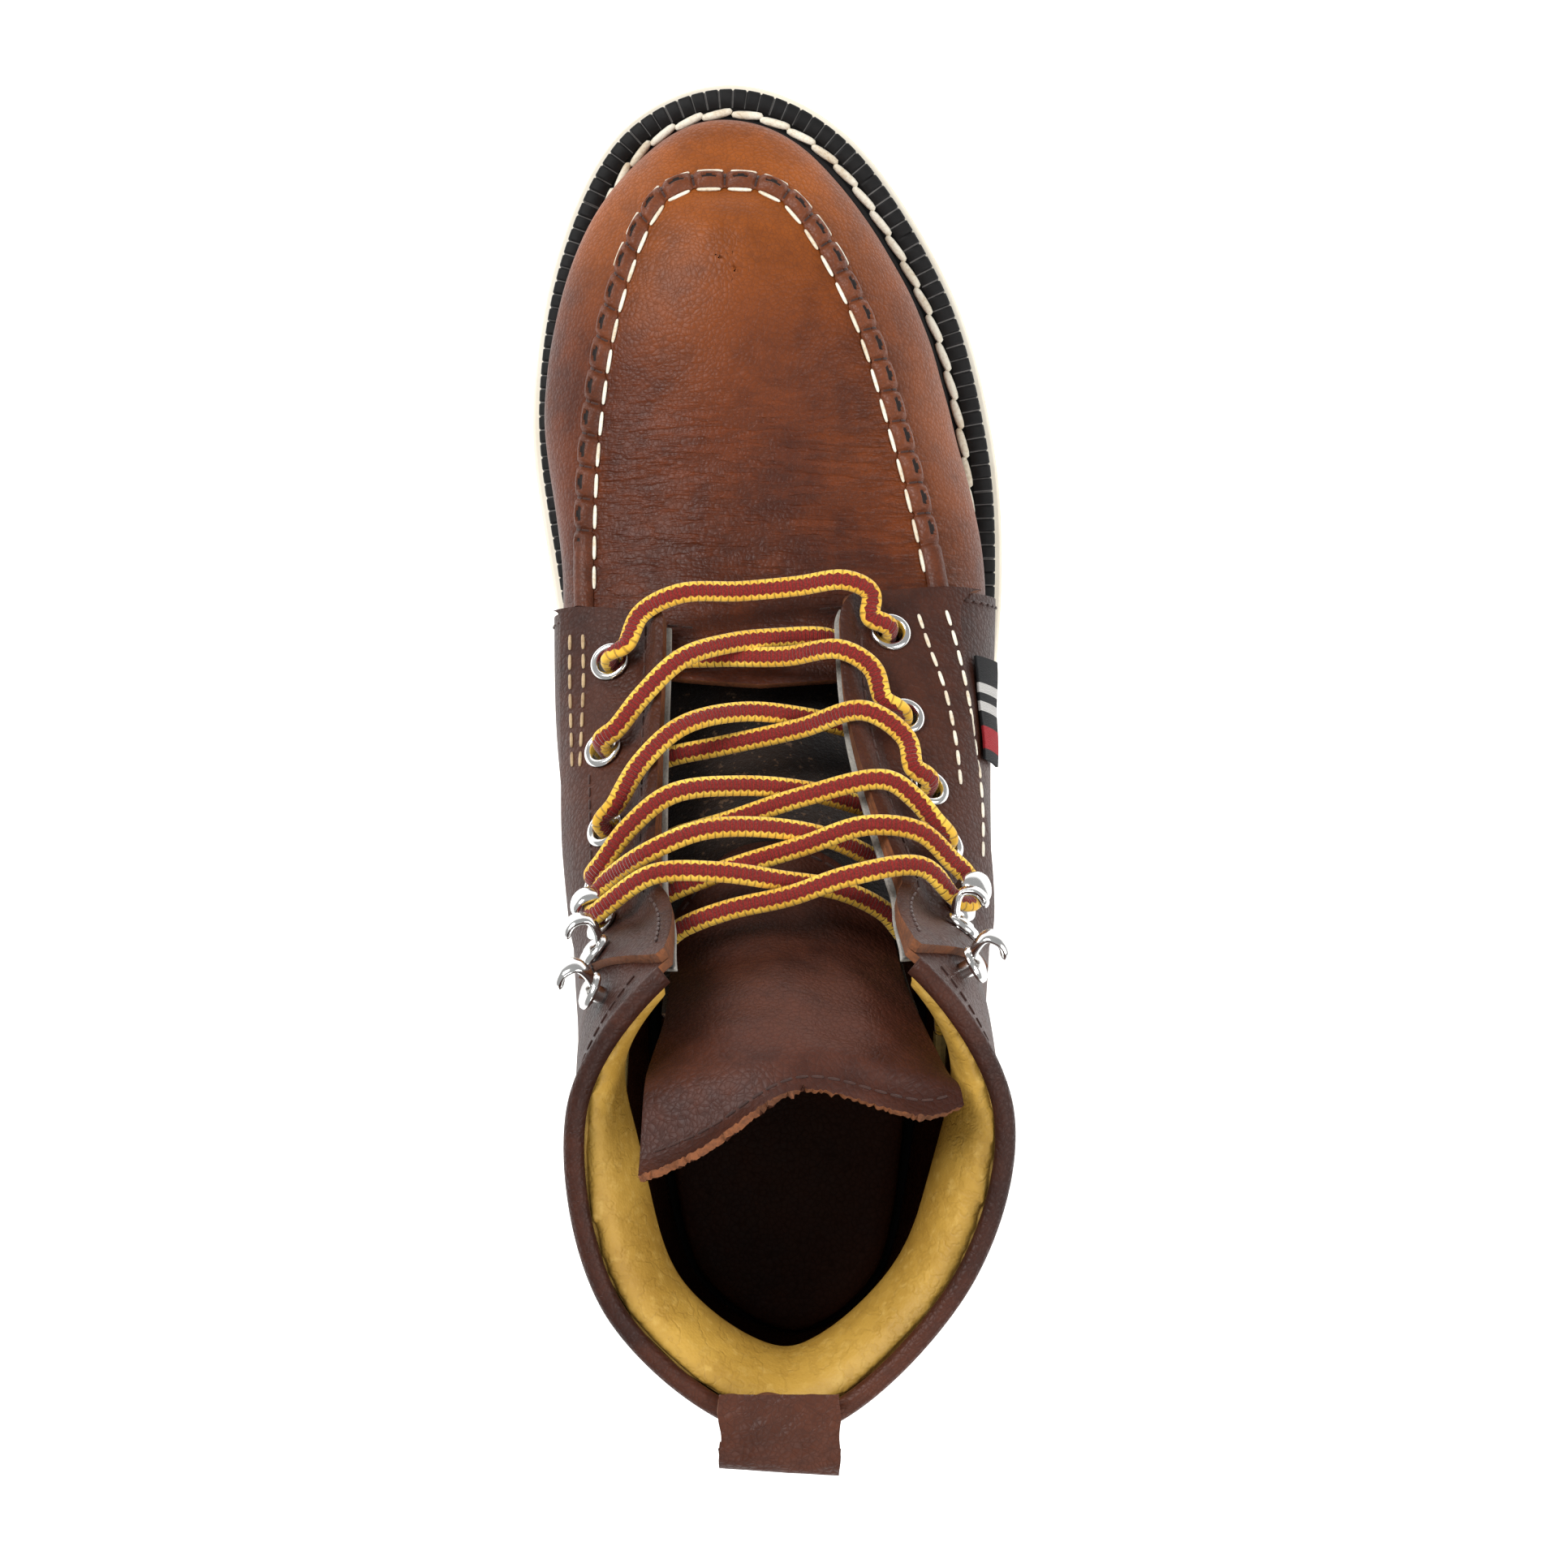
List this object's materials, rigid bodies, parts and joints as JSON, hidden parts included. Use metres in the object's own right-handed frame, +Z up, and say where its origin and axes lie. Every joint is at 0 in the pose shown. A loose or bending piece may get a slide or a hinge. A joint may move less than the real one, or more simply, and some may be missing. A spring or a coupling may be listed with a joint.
{
  "type": "lace-up safety work boot",
  "caption": "Right-foot lace-up safety work boot with moccasin toe, steel toe cap, pale wedge sole, padded collar, braided lace and speed hooks.",
  "frame": {"origin": "on the ground below the middle of the boot's box", "axes": "+Y towards the toe, +X towards the wearer's right (outer side), +Z up"},
  "size_m": [0.112, 0.3096, 0.1729],
  "materials": {
    "pale_sole": "matt, fine mould grain",
    "black_welt": "matt with fine cross ribs and pale lock stitch",
    "fibreboard": "raw",
    "cork": "granular",
    "steel": "brushed",
    "vamp_leather": "oiled pull-up, pebbled grain",
    "quarter_leather": "oiled, pebbled grain",
    "tongue_leather": "oiled, soft grain",
    "lining_leather": "smooth, matt",
    "suede": "brushed nap",
    "yellow_lining": "soft, wrinkled",
    "foam": "open cell",
    "grey_textile": "non-woven",
    "nickel": "polished nickel",
    "lace_braid": "flat round braid, yellow with dark red",
    "aglet_film": "clear film",
    "black_weave": "woven"
  },
  "bodies": {
    "boot": {"wedge_outsole": "pale_sole", "midsole": "pale_sole", "welt": "black_welt", "steel_shank": "steel", "cork_filler": "cork", "insole_board": "fibreboard", "apron": "vamp_leather", "vamp_wall": "vamp_leather", "steel_toe_cap": "steel", "vamp_lining": "grey_textile", "moc_seam_band": "quarter_leather", "quarter_medial": "quarter_leather", "eyestay_medial": "quarter_leather", "facing_lining_medial": "grey_textile", "quarter_lateral": "quarter_leather", "eyestay_lateral": "quarter_leather", "facing_lining_lateral": "grey_textile", "heel_counter": "fibreboard", "shaft_lining": "lining_leather", "collar_foam": "foam", "collar_lining": "yellow_lining", "collar_rim": "quarter_leather", "backstay": "quarter_leather", "tongue_base": "suede", "tongue_facing": "tongue_leather", "tongue_gusset_medial": "suede", "tongue_gusset_lateral": "suede", "eyelet_medial_1": "nickel", "eyelet_medial_2": "nickel", "eyelet_medial_3": "nickel", "eyelet_medial_4": "nickel", "speed_hook_medial_1": "nickel", "speed_hook_medial_2": "nickel", "speed_hook_medial_3": "nickel", "eyelet_lateral_1": "nickel", "eyelet_lateral_2": "nickel", "eyelet_lateral_3": "nickel", "eyelet_lateral_4": "nickel", "speed_hook_lateral_1": "nickel", "speed_hook_lateral_2": "nickel", "speed_hook_lateral_3": "nickel", "lace": "lace_braid", "aglet_medial": "aglet_film", "aglet_lateral": "aglet_film"},
    "tongue_flap": {"tongue_top": "tongue_leather"},
    "pull_loop": {"pull_loop": "quarter_leather"},
    "footbed": {"footbed": "lining_leather"},
    "side_tag": {"side_tag": "black_weave"}
  },
  "joints": [
    {"name": "tongue_fold", "type": "hinge", "parent": "boot", "child": "tongue_flap", "pos_m": [0.006, -0.0594, 0.1495], "axis": [1, 0, 0], "range_deg": [-4, 14]},
    {"name": "loop_swing", "type": "hinge", "parent": "boot", "child": "pull_loop", "pos_m": [0.003, -0.1405, 0.1632], "axis": [1, 0, 0], "range_deg": [-45, 0]},
    {"name": "footbed_lift", "type": "hinge", "parent": "boot", "child": "footbed", "pos_m": [0, 0.134, 0.0292], "axis": [-1, 0, 0], "range_deg": [0, 6]},
    {"name": "tag_flip", "type": "hinge", "parent": "boot", "child": "side_tag", "pos_m": [0.0482, 0.0063, 0.0744], "axis": [0.0711, -0.932, 0.3554], "range_deg": [0, 55]}
  ]
}
